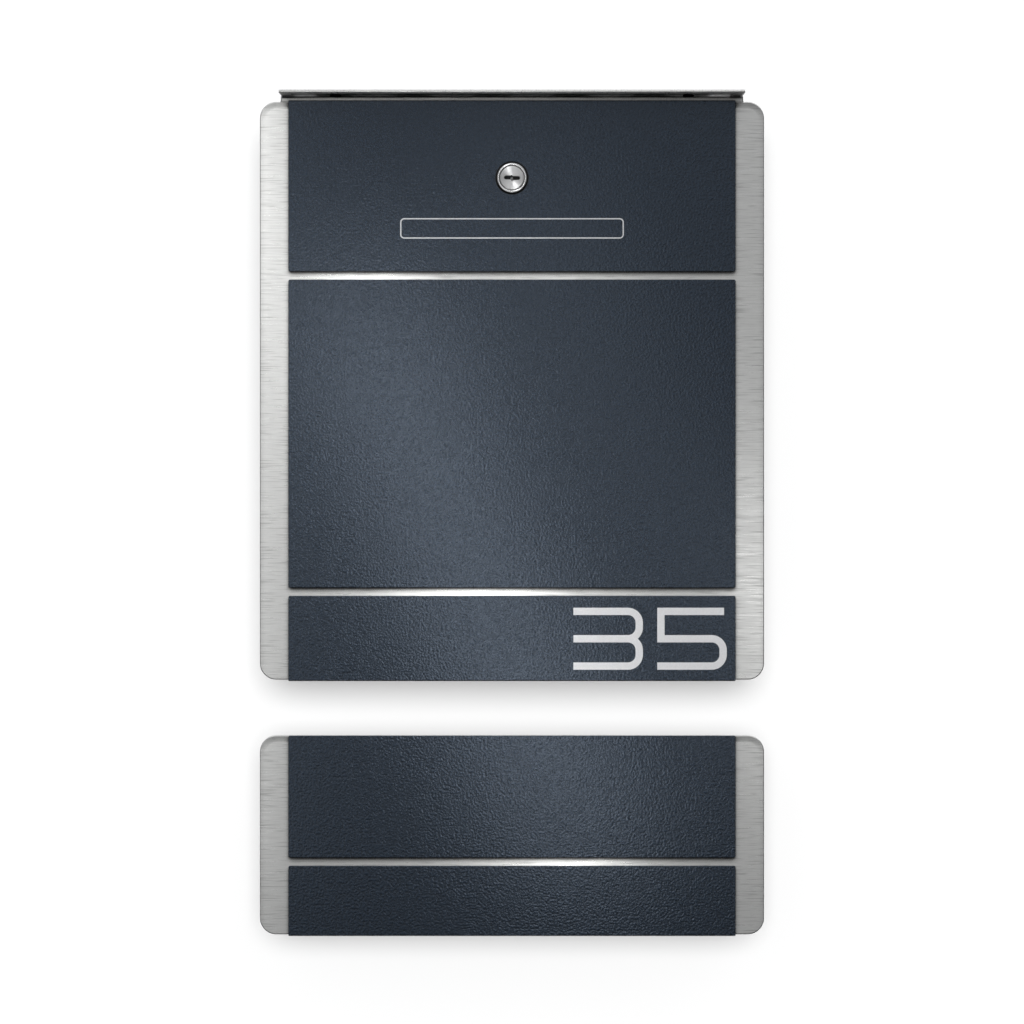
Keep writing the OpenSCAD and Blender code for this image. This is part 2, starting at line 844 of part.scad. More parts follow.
module cam_washer() {
    color(zinc) difference() {
        rod_y(0, lock_z, cam_washer_r, cam_front + cam_t, washer_t);
        rod_y(0, lock_z, cam_bore_r + nut_clearance, cam_front + cam_t - clear, washer_t + 2 * clear);
    }
}

module cam_screw() {
    head_y = cam_front + cam_t + washer_t;
    color(zinc) difference() {
        union() {
            rod_y(0, lock_z, cam_screw_r, head_y, cam_screw_head_h);
            rod_y(0, lock_z, stud_r, head_y - cam_screw_len, cam_screw_len + eps);
        }
        for (a = [0, 90])
            translate([0, head_y + cam_screw_head_h, lock_z]) rotate([0, a, 0])
                cube([cross_w, 2 * cross_depth, cross_slot], center = true);
    }
}

// ---- Newspaper compartment --------------------------------------------------------

// One folded sheet, open at both ends, with low lips that keep the paper in.
module news_sleeve() {
    top_z = news_case_top - half_t;
    bottom_z = news_case_bottom + half_t;
    front_y = -news_d + half_t;
    color(steel) difference() {
        union() {
            along_x(casing_w) folded([
                [front_y, news_case_top - news_flange], [front_y, top_z], [-half_t, top_z],
                [-half_t, bottom_z], [front_y, bottom_z], [front_y, news_case_bottom + news_flange]
            ]);
            for (s = [-1, 1])
                box_at([s * (wall_x - half_t) - half_t, -news_d + news_lip_gap, bottom_z],
                       [s * (wall_x - half_t) + half_t, -news_lip_gap, news_case_bottom + news_lip]);
        }
        for (x = [-1, 1], z = [-1, 1])
            rod_y(x * wall_hole_x / 2, news_hole_mid + z * news_hole_z / 2, wall_hole_d / 2,
                  -sheet_t - clear, sheet_t + 2 * clear);
        for (x = [-1, 1], z = news_stud_rows)
            rod_y(x * news_stud_x, z, stud_hole_r, -news_d - clear, sheet_t + 2 * clear);
    }
}

module news_plate() {
    front_plate(news_bottom, news_h);
}

module news_upper_panel() {
    color(anthracite) coated_panel(news_upper_z, news_upper_h);
}

module news_lower_panel() {
    color(anthracite) coated_panel(news_lower_z, news_lower_h, over_bottom = true);
}

module news_tapes() {
    color(black) {
        tape_strips(news_upper_z, news_upper_h);
        tape_strips(news_lower_z, news_lower_h);
    }
}

module news_studs() {
    color(zinc) for (x = [-1, 1], z = news_stud_rows)
        rod_y(x * news_stud_x, z, stud_r, plate_back, stud_len);
}

module news_nuts() {
    color(zinc) for (x = [-1, 1], z = news_stud_rows)
        washer_and_nut(x * news_stud_x, z, -news_d + sheet_t);
}

// ---- Nodes ------------------------------------------------------------------------

back_panel();
side_panel(-1);  // side_panel_left
side_panel(1);  // side_panel_right
bottom_tray();
front_rail();
top_deck();
letter_guide();
casing_rivets();
door_seal();
lid_bumpers();
lid_hinge_leaf_fixed();
lid_hinge_pin();
lid_hinge_leaf_moving();
lid();
door_hinge_leaf_fixed();
door_hinge_rivets();
door_hinge_pin();
door_hinge_leaf_moving();
door_plate();
door_pan();
door_studs();
door_nuts();
door_stops();
top_panel();
middle_panel();
bottom_panel();
door_tapes();
name_frame();
house_number();
lock_housing();
lock_gasket();
lock_nut();
lock_plug();
lock_cam();
cam_washer();
cam_screw();
news_sleeve();
news_plate();
news_upper_panel();
news_lower_panel();
news_tapes();
news_studs();
news_nuts();
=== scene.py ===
"""Looks of a wall mounted mailbox and its newspaper compartment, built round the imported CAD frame.

Everything is in metres in the frame's axes: +Z up, the front towards -Y, the wall at y = 0.
"""
import json
import math

import bmesh
import bpy
from mathutils import Matrix, Vector

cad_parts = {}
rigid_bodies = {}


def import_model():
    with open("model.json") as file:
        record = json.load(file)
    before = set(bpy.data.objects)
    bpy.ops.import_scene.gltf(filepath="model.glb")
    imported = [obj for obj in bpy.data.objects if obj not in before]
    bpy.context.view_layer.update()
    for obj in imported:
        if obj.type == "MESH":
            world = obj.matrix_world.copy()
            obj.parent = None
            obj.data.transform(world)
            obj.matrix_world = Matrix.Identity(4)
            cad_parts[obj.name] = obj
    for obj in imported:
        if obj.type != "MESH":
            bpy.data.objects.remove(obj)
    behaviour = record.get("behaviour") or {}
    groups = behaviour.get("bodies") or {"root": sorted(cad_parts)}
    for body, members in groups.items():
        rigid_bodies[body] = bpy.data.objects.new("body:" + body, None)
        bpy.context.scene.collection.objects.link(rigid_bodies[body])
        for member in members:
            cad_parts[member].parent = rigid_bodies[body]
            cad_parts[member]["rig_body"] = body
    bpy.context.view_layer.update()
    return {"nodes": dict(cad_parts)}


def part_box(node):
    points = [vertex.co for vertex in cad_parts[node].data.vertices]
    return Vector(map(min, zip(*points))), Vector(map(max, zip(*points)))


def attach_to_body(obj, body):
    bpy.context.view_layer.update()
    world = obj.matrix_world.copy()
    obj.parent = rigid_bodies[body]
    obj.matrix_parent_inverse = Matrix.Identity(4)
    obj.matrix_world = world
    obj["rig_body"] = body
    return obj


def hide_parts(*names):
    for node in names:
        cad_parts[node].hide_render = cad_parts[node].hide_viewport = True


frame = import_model()

MM = 0.001
BODY_OF = {node: obj["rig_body"] for node, obj in frame["nodes"].items()}


# ---- Camera -------------------------------------------------------------------------

VIEW_HEIGHT = -0.089
VIEW_DISTANCE = 2.7015
LENS = 124.5


def make_camera():
    data = bpy.data.cameras.new("camera")
    data.lens = LENS
    camera = bpy.data.objects.new("camera", data)
    camera.location = (0, -VIEW_DISTANCE, VIEW_HEIGHT)
    camera.rotation_euler = (math.pi / 2, 0, 0)
    bpy.context.scene.collection.objects.link(camera)
    bpy.context.scene.camera = camera


make_camera()


# ---- Materials ----------------------------------------------------------------------

class Shader:
    """A new material with short calls for the nodes that the surfaces here need."""

    def __init__(self, name, **settings):
        self.material = bpy.data.materials.new(name)
        self.material.use_nodes = True
        self.tree = self.material.node_tree
        self.surface = self.tree.nodes["Principled BSDF"]
        self.place = self.node("TexCoord").outputs["Object"]
        for socket, value in settings.items():
            self.surface.inputs[socket.replace("_", " ")].default_value = value

    def node(self, kind, settings=None, **inputs):
        made = self.tree.nodes.new("ShaderNode" + kind)
        for key, value in (settings or {}).items():
            setattr(made, key, value)
        for key, value in inputs.items():
            self.feed(made.inputs[key.replace("_", " ")], value)
        return made

    def feed(self, socket, value):
        if isinstance(value, bpy.types.NodeSocket):
            self.tree.links.new(value, socket)
        else:
            socket.default_value = value

    def noise(self, scale, detail=2.0, stretch=(1, 1, 1), shift=(0, 0, 0)):
        moved = self.node("Mapping", Vector=self.place, Scale=stretch, Location=shift)
        made = self.node("TexNoise", Vector=moved.outputs[0], Scale=scale, Detail=detail)
        return made.outputs["Fac"]

    def spread(self, fac, low, high, start=0.3, end=0.7):
        made = self.node("MapRange", Value=fac)
        for key, value in (("From Min", start), ("From Max", end), ("To Min", low), ("To Max", high)):
            made.inputs[key].default_value = value
        return made.outputs[0]

    def blend(self, fac, a, b):
        made = self.node("Mix", {"data_type": "RGBA"})
        self.feed(made.inputs[0], fac)
        self.feed(made.inputs[6], (*a, 1) if isinstance(a, tuple) else a)
        self.feed(made.inputs[7], (*b, 1) if isinstance(b, tuple) else b)
        return made.outputs[2]

    def bump(self, height, distance, strength=1.0, normal=None):
        made = self.node("Bump", Height=height, Strength=strength, Distance=distance)
        if normal is not None:
            self.feed(made.inputs["Normal"], normal)
        return made.outputs[0]

    def tangent_round(self, axis):
        return self.node("Tangent", {"direction_type": "RADIAL", "axis": axis}).outputs[0]

    def finish(self, color=None, roughness=None, normal=None, tangent=None):
        given = {"Base Color": color, "Roughness": roughness, "Normal": normal, "Tangent": tangent}
        for key, value in given.items():
            if value is not None:
                self.feed(self.surface.inputs[key], value)
        return self.material


def grain_stretch(axis, along, across):
    return tuple(along if i == axis else across for i in range(3))


def scaled(color, k):
    return tuple(min(1.0, c * k) for c in color)


# reach of the ambient occlusion mask that paints shade into the steel's colour
PAINTED_SHADE_REACH = 4.8 * MM


def brushed_steel(name, axis, color, rough=0.3, depth=0.42, anisotropy=0.7, tangent_axis="Z", painted_shade=0.0,
                  facing=None):
    """Sheet steel with straight brush lines along one axis: 0 is X, 1 is Y, 2 is Z.

    Painted shade darkens its colour next to other pieces, through an ambient occlusion mask, by a strength
    from 0 to 1.
    With facing, mostly under pieces that stand on that side of it, as a painted shadow.
    """
    s = Shader(name, Metallic=1.0, Anisotropic=anisotropy, Anisotropic_Rotation=0.25)
    lines = s.noise(1.0, 2.0, grain_stretch(axis, 56, 1400))
    scores = s.noise(1.0, 1.0, grain_stretch(axis, 52, 1150), (3, 1, 2))
    clouds = s.noise(14.0, 2.0)
    tone = s.blend(s.spread(lines, 0, 1), scaled(color, 1.05), scaled(color, 0.93))
    tone = s.blend(s.spread(scores, 0, depth, 0.54, 0.72), tone, scaled(color, 0.3))
    tone = s.blend(s.spread(clouds, 0.0, 0.12), tone, scaled(color, 0.85))
    # painted shade: an ambient occlusion mask darkens the colour in gaps, corners and under pieces, toward
    # near-black
    corner = s.node("AmbientOcclusion", Distance=PAINTED_SHADE_REACH)
    if facing:
        aim = s.node("CombineXYZ", X=facing[0], Y=facing[1], Z=facing[2])
        s.feed(corner.inputs["Normal"], aim.outputs[0])
    deep, clear = (0.46, 0.75) if facing else (0.5, 0.95)
    tone = s.blend(s.spread(corner.outputs["AO"], painted_shade, 0, deep, clear), tone, scaled(color, 0.05))
    rough_map = s.spread(lines, rough - 0.03, rough + 0.06)
    normal = s.bump(lines, 0.01 * MM, 0.4)
    return s.finish(tone, rough_map, normal, s.tangent_round(tangent_axis))


def mill_steel(name, color, rough=0.42):
    """Unbrushed sheet, with faint rolling lines and soft clouding."""
    s = Shader(name, Metallic=1.0)
    rolled = s.noise(1.0, 2.0, (40, 90, 420))
    clouds = s.noise(28.0, 3.0)
    tone = s.blend(s.spread(clouds, 0, 1), scaled(color, 0.93), color)
    tone = s.blend(s.spread(rolled, 0, 0.25), tone, scaled(color, 0.75))
    rough_map = s.spread(clouds, rough - 0.02, rough + 0.03)
    return s.finish(tone, rough_map, s.bump(rolled, 0.02 * MM, 0.4))


def powder_coat(name, color, sheen, rough=0.24):
    """Fine textured powder coat: a rounded grain of under 2 mm with finer pores on it."""
    s = Shader(name, Specular_IOR_Level=0.7, Specular_Tint=(*sheen, 1))
    grain = s.noise(640.0, 1.0)
    pores = s.noise(1500.0, 2.0)
    clouds = s.noise(22.0, 2.0)
    tone = s.blend(s.spread(grain, 0, 1, 0.38, 0.62), scaled(color, 0.3), scaled(color, 1.9))
    tone = s.blend(s.spread(clouds, 0, 0.25), tone, scaled(color, 0.85))
    rough_map = s.spread(pores, rough - 0.05, rough + 0.07)
    normal = s.bump(pores, 0.06 * MM, 0.4, s.bump(grain, 0.34 * MM, 0.88))
    return s.finish(tone, rough_map, normal)


def turned_metal(name, color, rough, ring_pitch, centre, anisotropy):
    """Metal faced on a lathe: rings about a line along Y through centre."""
    s = Shader(name, Metallic=1.0, Anisotropic=anisotropy, Anisotropic_Rotation=0.25)
    place = s.node("Mapping", Vector=s.place, Location=tuple(-c for c in centre))
    wave = s.node("TexWave", {"wave_type": "RINGS", "rings_direction": "Y"}, Vector=place.outputs[0])
    wave.inputs["Scale"].default_value = 0.1 * math.pi / ring_pitch
    wave.inputs["Distortion"].default_value = 0.4
    wear = s.noise(160.0, 3.0)
    tone = s.blend(s.spread(wear, 0, 0.25), color, scaled(color, 0.8))
    tone = s.blend(s.spread(wave.outputs["Fac"], 0, 0.2, 0, 1), tone, scaled(color, 0.6))
    rough_map = s.spread(wear, rough - 0.02, rough + 0.05)
    normal = s.bump(wave.outputs["Fac"], 0.002 * MM, 0.3)
    return s.finish(tone, rough_map, normal, s.tangent_round("Y"))


def zinc_plate(name, color, tint):
    """Bright zinc: a cool metal with a faint warm passivation in patches."""
    s = Shader(name, Metallic=1.0)
    patches = s.noise(120.0, 4.0)
    specks = s.noise(1500.0, 2.0)
    tone = s.blend(s.spread(patches, 0, 1, 0.35, 0.65), color, tint)
    rough_map = s.spread(specks, 0.3, 0.46)
    return s.finish(tone, rough_map, s.bump(specks, 0.02 * MM, 0.3))


def soft_black(name, color, scale, rough, depth, shine=0.3):
    """Rubber or foam: matt, with small pores."""
    s = Shader(name, Specular_IOR_Level=shine)
    pores = s.noise(scale, 3.0)
    tone = s.blend(s.spread(pores, 0, 1), scaled(color, 0.7), scaled(color, 1.4))
    rough_map = s.spread(pores, rough - 0.08, rough + 0.06)
    return s.finish(tone, rough_map, s.bump(pores, depth, 0.5))


def satin_film(name, color):
    """Silver film cut for the number and the name field: a satin metallic with a fine fleck."""
    s = Shader(name, Metallic=0.45)
    fleck = s.noise(1400.0, 1.0)
    clouds = s.noise(30.0, 2.0)
    tone = s.blend(s.spread(fleck, 0, 0.5), color, scaled(color, 0.82))
    tone = s.blend(s.spread(clouds, 0, 0.2), tone, scaled(color, 0.85))
    return s.finish(tone, s.spread(fleck, 0.34, 0.46), s.bump(fleck, 0.02 * MM, 0.3))


lock_low, lock_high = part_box("lock_housing")
LOCK = (lock_low + lock_high) / 2

STEEL = (0.66, 0.66, 0.645)
MATERIALS = {
    # front, lid and rail steel get painted shade: darkened colour under the panels, in the gaps and under
    # the lid
    "front": brushed_steel("front_steel", 0, STEEL, painted_shade=1.0, facing=(0, -0.2, 0.98)),
    "lid": brushed_steel("lid_steel", 1, STEEL, tangent_axis="X", painted_shade=1.0),
    "rail": brushed_steel("rail_steel", 2, STEEL, anisotropy=0.4, tangent_axis="X", painted_shade=0.8),
    "side": brushed_steel("side_steel", 2, (0.6, 0.6, 0.59), rough=0.34, anisotropy=0.4, tangent_axis="X"),
    "inlay": satin_film("satin_film", (0.8, 0.8, 0.81)),
    # painted shade: a near-black colour on the inside of the keyway and notches, where the metal is only in
    # shade
    "keyway": soft_black("keyway_painted_shade", (0.012, 0.012, 0.012), 900.0, 0.5, 0.03 * MM),
    "mill": mill_steel("mill_steel", (0.52, 0.52, 0.52)),
    "coat": powder_coat("anthracite_coat", (0.005, 0.009, 0.015), (0.68, 0.81, 1.0)),
    "chrome": turned_metal("lock_chrome", (0.36, 0.36, 0.36), 0.14, 0.9 * MM, LOCK, 0.5),
    "turned": turned_metal("turned_face", (0.37, 0.37, 0.37), 0.3, 0.3 * MM, LOCK, 0.95),
    "zinc": zinc_plate("zinc_plate", (0.56, 0.58, 0.61), (0.6, 0.58, 0.5)),
    "rubber": soft_black("black_rubber", (0.005, 0.005, 0.0055), 700.0, 0.72, 0.06 * MM, shine=0.12),
    "foam": soft_black("black_foam", (0.03, 0.03, 0.03), 1500.0, 0.85, 0.15 * MM),
}


# ---- Mesh helpers -------------------------------------------------------------------

def smooth_fan(loop):
    """The faces round this corner's vertex that no sharp edge parts from its own face."""
    fan, waiting = {loop.face}, [loop.face]
    while waiting:
        face = waiting.pop()
        for edge in face.edges:
            if edge.smooth and loop.vert in edge.verts:
                for other in edge.link_faces:
                    if other not in fan:
                        fan.add(other)
                        waiting.append(other)
    return fan


def flat_areas(bm):
    """For each face, the area of the whole flat region that it lies in."""
    areas = {}
    for start in bm.faces:
        if start in areas:
            continue
        region, waiting = {start}, [start]
        while waiting:
            face = waiting.pop()
            for edge in face.edges:
                for other in edge.link_faces:
                    if other not in region and other.normal.dot(start.normal) > 0.99999:
                        region.add(other)
                        waiting.append(other)
        area = sum(face.calc_area() for face in region)
        areas.update((face, area) for face in region)
    return areas


def corner_normal(loop, areas):
    """Led by the largest flat region at the corner, so flats stay flat next to their rounded edges."""
    regions = {round(areas[face], 12): face.normal for face in smooth_fan(loop)}
    if len(regions) == 1:
        return loop.face.normal.copy()
    top = max(regions)
    total = sum((normal * (area / top) ** 2 for area, normal in regions.items()), Vector())
    return total.normalized() if total.length > 0.1 else loop.face.normal.copy()


def is_sliver(face):
    """Too thin to have a normal of its own."""
    return 2 * face.calc_area() < max(edge.calc_length() for edge in face.edges) * 0.006 * MM


def add_object(name, bm, material, smooth_angle=40):
    limit = math.radians(smooth_angle)
    bm.normal_update()
    slivers = {face for face in bm.faces if is_sliver(face)}
    for edge in bm.edges:
        edge.smooth = len(edge.link_faces) == 2 and (
            edge.calc_face_angle(0.0) < limit or not slivers.isdisjoint(edge.link_faces))
    bm.faces.index_update()
    areas = flat_areas(bm)
    normals = [corner_normal(loop, areas) for face in bm.faces for loop in face.loops]
    mesh = bpy.data.meshes.new(name)
    bm.to_mesh(mesh)
    bm.free()
    mesh.shade_smooth()
    mesh.normals_split_custom_set(normals)
    mesh.materials.append(material)
    obj = bpy.data.objects.new(name, mesh)
    bpy.context.scene.collection.objects.link(obj)
    return obj


def round_edges(bm, edges, radius, segments, clamp=False):
    bmesh.ops.bevel(bm, geom=edges, offset=radius, offset_type="OFFSET", segments=segments,
                    profile=0.5, affect="EDGES", clamp_overlap=clamp)


def sharp_edges(bm, angle):
    limit = math.radians(angle)
    return [e for e in bm.edges if len(e.link_faces) == 2 and e.calc_face_angle(0.0) > limit]


def along(edge, axis):
    return abs((edge.verts[0].co - edge.verts[1].co).normalized()[axis]) > 0.99


def node_mesh(node, whole_faces=True):
    """The CAD node's closed shape, ready for its edges to be rounded."""
    bm = bmesh.new()
    bm.from_mesh(frame["nodes"][node].data)
    bmesh.ops.remove_doubles(bm, verts=bm.verts, dist=0.002 * MM)
    if whole_faces:
        bmesh.ops.dissolve_limit(bm, angle_limit=math.radians(0.5), verts=bm.verts, edges=bm.edges)
    return bm


def attach(obj, node, *others):
    """The piece rides with the CAD node that it stands for, and hides that node and the others given."""
    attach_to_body(obj, BODY_OF[node])
    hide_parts(node, *others)
    return obj


def refined(node, material, edge=0.2, segments=2, clamp=False):
    """The CAD node with real edge radii, in millimetres."""
    bm = node_mesh(node)
    round_edges(bm, sharp_edges(bm, 30), edge * MM, segments, clamp)
    return attach(add_object(node + "_finish", bm, MATERIALS[material]), node)


def arc(centre, radius, start, stop, steps):
    """Profile points (radius, depth) round part of a circle; angles in degrees from +radius to +depth."""
    turns = [math.radians(start + (stop - start) * i / steps) for i in range(steps + 1)]
    return [(centre[0] + radius * math.cos(t), centre[1] + radius * math.sin(t)) for t in turns]


def thread(major, depth, start, stop, pitch):
    """Profile points of a thread's crests and roots along the part."""
    turns = round((stop - start) / pitch)
    points = []
    for i in range(turns):
        at = start + (stop - start) * i / turns
        points += [(major - depth, at), (major, at + 0.4 * pitch), (major, at + 0.6 * pitch)]
    return points + [(major - depth, stop)]


def turn(bm, profile, centre, steps=72, closed=False):
    """Revolves a profile of (radius, depth) points, in millimetres, round the line along Y through centre.

    The depth runs back from centre. An open profile starts and ends on the axis; a closed one makes a ring.
    """
    rings = []
    for radius, depth in profile:
        spots = 1 if radius == 0 else steps
        angles = [2 * math.pi * i / steps for i in range(spots)]
        rings.append([bm.verts.new(centre + MM * Vector((radius * math.cos(a), depth, radius * math.sin(a))))
                      for a in angles])
    pairs = list(zip(rings, rings[1:] + (rings[:1] if closed else [])))
    for low, high in pairs:
        if len(low) == len(high) == 1:
            continue
        for i in range(steps):
            j = (i + 1) % steps
            loop = [low[i % len(low)], low[j % len(low)], high[j % len(high)], high[i % len(high)]]
            bm.faces.new(list(dict.fromkeys(loop)))
    bmesh.ops.recalc_face_normals(bm, faces=bm.faces)
    return bm


def islands(node):
    """The low and high corners of each separate solid in a CAD node."""
    bm = node_mesh(node, whole_faces=False)
    left, found = set(bm.verts), []
    while left:
        waiting = [left.pop()]
        spots = []
        while waiting:
            vert = waiting.pop()
            spots.append(vert.co.copy())
            for edge in vert.link_edges:
                other = edge.other_vert(vert)
                if other in left:
                    left.remove(other)
                    waiting.append(other)
        found.append(tuple(Vector(pick(c[i] for c in spots) for i in range(3)) for pick in (min, max)))
    bm.free()
    return found


def threaded_studs(node):
    """Weld studs: a short plain foot, a thread, and a chamfered end."""
    bm = bmesh.new()
    for low, high in islands(node):
        r = (high.x - low.x) / 2 / MM
        length = (high.y - low.y) / MM
        foot = [(0, 0), (r, 0), (r, 0.6)]
        end = [(r - 0.55, length), (0, length)]
        turn(bm, foot + thread(r, 0.38, 0.7, length - 0.3, 0.7) + end,
             Vector(((low.x + high.x) / 2, low.y, (low.z + high.z) / 2)), 32)
    attach(add_object(node + "_thread", bm, MATERIALS["zinc"], 25), node)


def cut(obj, cutter_bm):
    """Takes the cutter's volume out of the piece."""
    mesh = bpy.data.meshes.new("cutter")
    cutter_bm.to_mesh(mesh)
    cutter_bm.free()
    cutter = bpy.data.objects.new("cutter", mesh)
    bpy.context.scene.collection.objects.link(cutter)
    modifier = obj.modifiers.new("cut", "BOOLEAN")
    modifier.operation = "DIFFERENCE"
    modifier.solver = "EXACT"
    modifier.object = cutter
    bpy.context.view_layer.update()
    shape = bmesh.new()
    shape.from_object(obj, bpy.context.evaluated_depsgraph_get())
    bpy.data.objects.remove(cutter)
    bpy.data.meshes.remove(mesh)
    old = obj.data
    bpy.data.objects.remove(obj)
    bpy.data.meshes.remove(old)
    return shape


def slab(bm, outline, centre, depth_from, depth_to):
    """A prism along Y on an outline of (x, z) points, in millimetres."""
    near, far = [[bm.verts.new(centre + MM * Vector((x, depth, z))) for x, z in outline]
                 for depth in (depth_from, depth_to)]
    bm.faces.new(near)
    bm.faces.new(list(reversed(far)))
    for i in range(len(outline)):
        j = (i + 1) % len(outline)
        bm.faces.new([near[i], far[i], far[j], near[j]])


def round_bar(x_from, x_to, z, half, steps=8):
    """Outline of a level slot with round ends."""
    right = arc((x_to - half, z), half, -90, 90, steps)
    left = arc((x_from + half, z), half, 90, 270, steps)
    return right + left


PANEL_T = 1.0 * MM
PANEL_CORNER = 1.2 * MM
FOLD_R = 0.9 * MM
COAT_EDGE_R = 0.46 * MM
LOCK_HOLE_R = 12.3


def folded_blank(node):
    """The panel as one sheet, with its lip folded back over the plate behind it."""
    low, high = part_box(node)
    back = low.y + PANEL_T
    lip = [v.co.z for v in frame["nodes"][node].data.vertices if v.co.y > back + PANEL_T]
    outline = [(low.y, low.z), (back, low.z), (back, high.z), (low.y, high.z)]
    if lip and lip[0] > (low.z + high.z) / 2:
        outline[2:3] = [(back, high.z - PANEL_T), (high.y, high.z - PANEL_T), (high.y, high.z)]
    elif lip:
        outline[1:2] = [(high.y, low.z), (high.y, low.z + PANEL_T), (back, low.z + PANEL_T)]
    bm = bmesh.new()
    left, right = [[bm.verts.new((x, y, z)) for y, z in outline] for x in (low.x, high.x)]
    bm.faces.new(left)
    bm.faces.new(list(reversed(right)))
    for i in range(len(outline)):
        j = (i + 1) % len(outline)
        bm.faces.new([left[i], right[i], right[j], left[j]])
    bmesh.ops.recalc_face_normals(bm, faces=bm.faces)
    corners = [e for e in sharp_edges(bm, 60) if along(e, 1) and e.calc_length() < 1.2 * PANEL_T]
    folds = [e for e in sharp_edges(bm, 60) if along(e, 0) and e.verts[0].co.y < low.y + 0.01 * MM
             and lip and abs(e.verts[0].co.z - lip[0]) < 1.5 * PANEL_T]
    round_edges(bm, corners, PANEL_CORNER, 6)
    round_edges(bm, [e for e in folds if e.is_valid], FOLD_R, 5)
    round_edges(bm, sharp_edges(bm, 30), COAT_EDGE_R, 3)
    return bm


def inlay_cutter(node, front):
    """The inlay's own outline, run out past the panel's front and down to the inlay's back."""
    bm = node_mesh(node, whole_faces=False)
    for vert in bm.verts:
        if vert.co.y < front:
            vert.co.y -= PANEL_T
    return bm


def coated_panel(node, cutters=()):
    """A coated sheet with round free corners, a soft fold and edges thickened by the coat."""
    panel = add_object(node + "_coated", folded_blank(node), MATERIALS["coat"])
    for cutter in cutters:
        panel = add_object(node + "_coated", cut(panel, cutter), MATERIALS["coat"])
    return attach(panel, node)


def build_sheet_pieces():
    for node in ("door_plate", "news_plate"):
        refined(node, "front", edge=0.7, segments=4)
    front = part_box("middle_panel")[0].y
    for node in ("middle_panel", "news_upper_panel", "news_lower_panel"):
        coated_panel(node)
    coated_panel("bottom_panel", [inlay_cutter("house_number", front)])
    lock_hole = turn(bmesh.new(), [(0, -3), (LOCK_HOLE_R, -3), (LOCK_HOLE_R, 3), (0, 3)],
                     Vector((LOCK.x, front, LOCK.z)), 96)
    coated_panel("top_panel", [inlay_cutter("name_frame", front), lock_hole])
    for node in ("name_frame", "house_number"):
        refined(node, "inlay", edge=0.05, segments=1)
    refined("lid", "lid", edge=0.25)
    refined("front_rail", "rail")
    for node in ("side_panel_left", "side_panel_right"):
        refined(node, "side", clamp=True)
    refined("news_sleeve", "side")
    for node in ("back_panel", "bottom_tray", "top_deck", "letter_guide", "door_pan"):
        refined(node, "mill")


build_sheet_pieces()


def build_hardware():
    for node in ("lid_hinge_leaf_fixed", "lid_hinge_leaf_moving", "door_hinge_leaf_fixed",
                 "door_hinge_leaf_moving", "lid_hinge_pin", "door_hinge_pin", "door_stops", "door_nuts",
                 "news_nuts", "casing_rivets", "door_hinge_rivets", "lock_nut", "lock_cam", "cam_washer",
                 "cam_screw"):
        refined(node, "zinc", edge=0.12)
    for node in ("lid_bumpers", "door_seal", "lock_gasket"):
        refined(node, "rubber", edge=0.15)
    for node in ("door_tapes", "news_tapes"):
        refined(node, "foam", edge=0.1, segments=1)


build_hardware()


HEAD_R = (lock_high.x - lock_low.x) / 2 / MM
HEAD_H = 3.0
BARREL_R = 9.4
BORE_R = 6.55
SEAT_R = 8.85
SEAT_DEPTH = 2.0
DISC_R = 8.7
KEY_HALF = 5.9
KEY_SLOT_HALF = 1.4


def build_lock_housing():
    """A polished head with a rolled rim, and the barrel with its thread."""
    front = Vector((LOCK.x, lock_low.y, LOCK.z))
    length = (lock_high.y - lock_low.y) / MM
    rim = arc((9.75, 0.8), 0.8, 180, 270, 8) + arc((HEAD_R - 1.1, 1.1), 1.1, 270, 360, 10)
    skirt = [(HEAD_R, HEAD_H - 0.15), (HEAD_R - 0.15, HEAD_H), (BARREL_R, HEAD_H)]
    barrel = [(BARREL_R, HEAD_H + 1.2)] + thread(BARREL_R, 0.45, HEAD_H + 1.3, length - 0.4, 0.9)
    bore = [(BARREL_R - 0.7, length), (BORE_R + 0.2, length), (BORE_R, length - 0.2), (BORE_R, SEAT_DEPTH),
            (SEAT_R, SEAT_DEPTH), (SEAT_R, 0.9)]
    bm = turn(bmesh.new(), rim + skirt + barrel + bore, front, 120, closed=True)
    attach(add_object("lock_head", bm, MATERIALS["chrome"], 50), "lock_housing")


